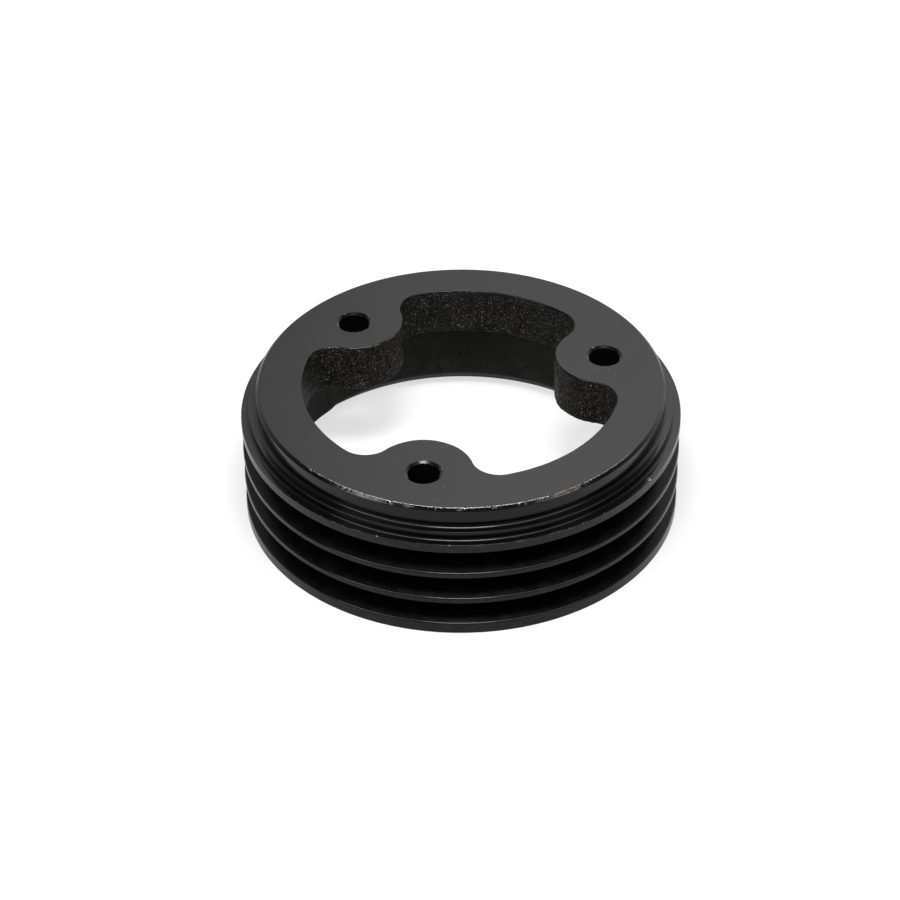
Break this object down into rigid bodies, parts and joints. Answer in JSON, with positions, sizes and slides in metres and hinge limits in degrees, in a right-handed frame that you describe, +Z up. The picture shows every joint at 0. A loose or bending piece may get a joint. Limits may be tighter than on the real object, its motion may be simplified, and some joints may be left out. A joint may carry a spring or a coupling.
{
  "type": "V-belt pulley ring",
  "caption": "Grooved V-belt pulley ring, turned from an iron casting, with a stepped spigot, inward bolting ears round a cast opening and a deep recess that goes over the hub.",
  "frame": {"origin": "centre of the lower rim face, on the axis of rotation", "axes": "+Z up the axis of rotation, towards the spigot face; +X through the middle of one bolting ear"},
  "size_m": [0.212, 0.212, 0.067],
  "materials": {
    "black_iron": "satin black paint over turned iron, rough as cast on the inner wall, worn to bare metal on the front edges"
  },
  "bodies": {
    "root": {"pulley_ring": "black_iron"}
  },
  "joints": []
}
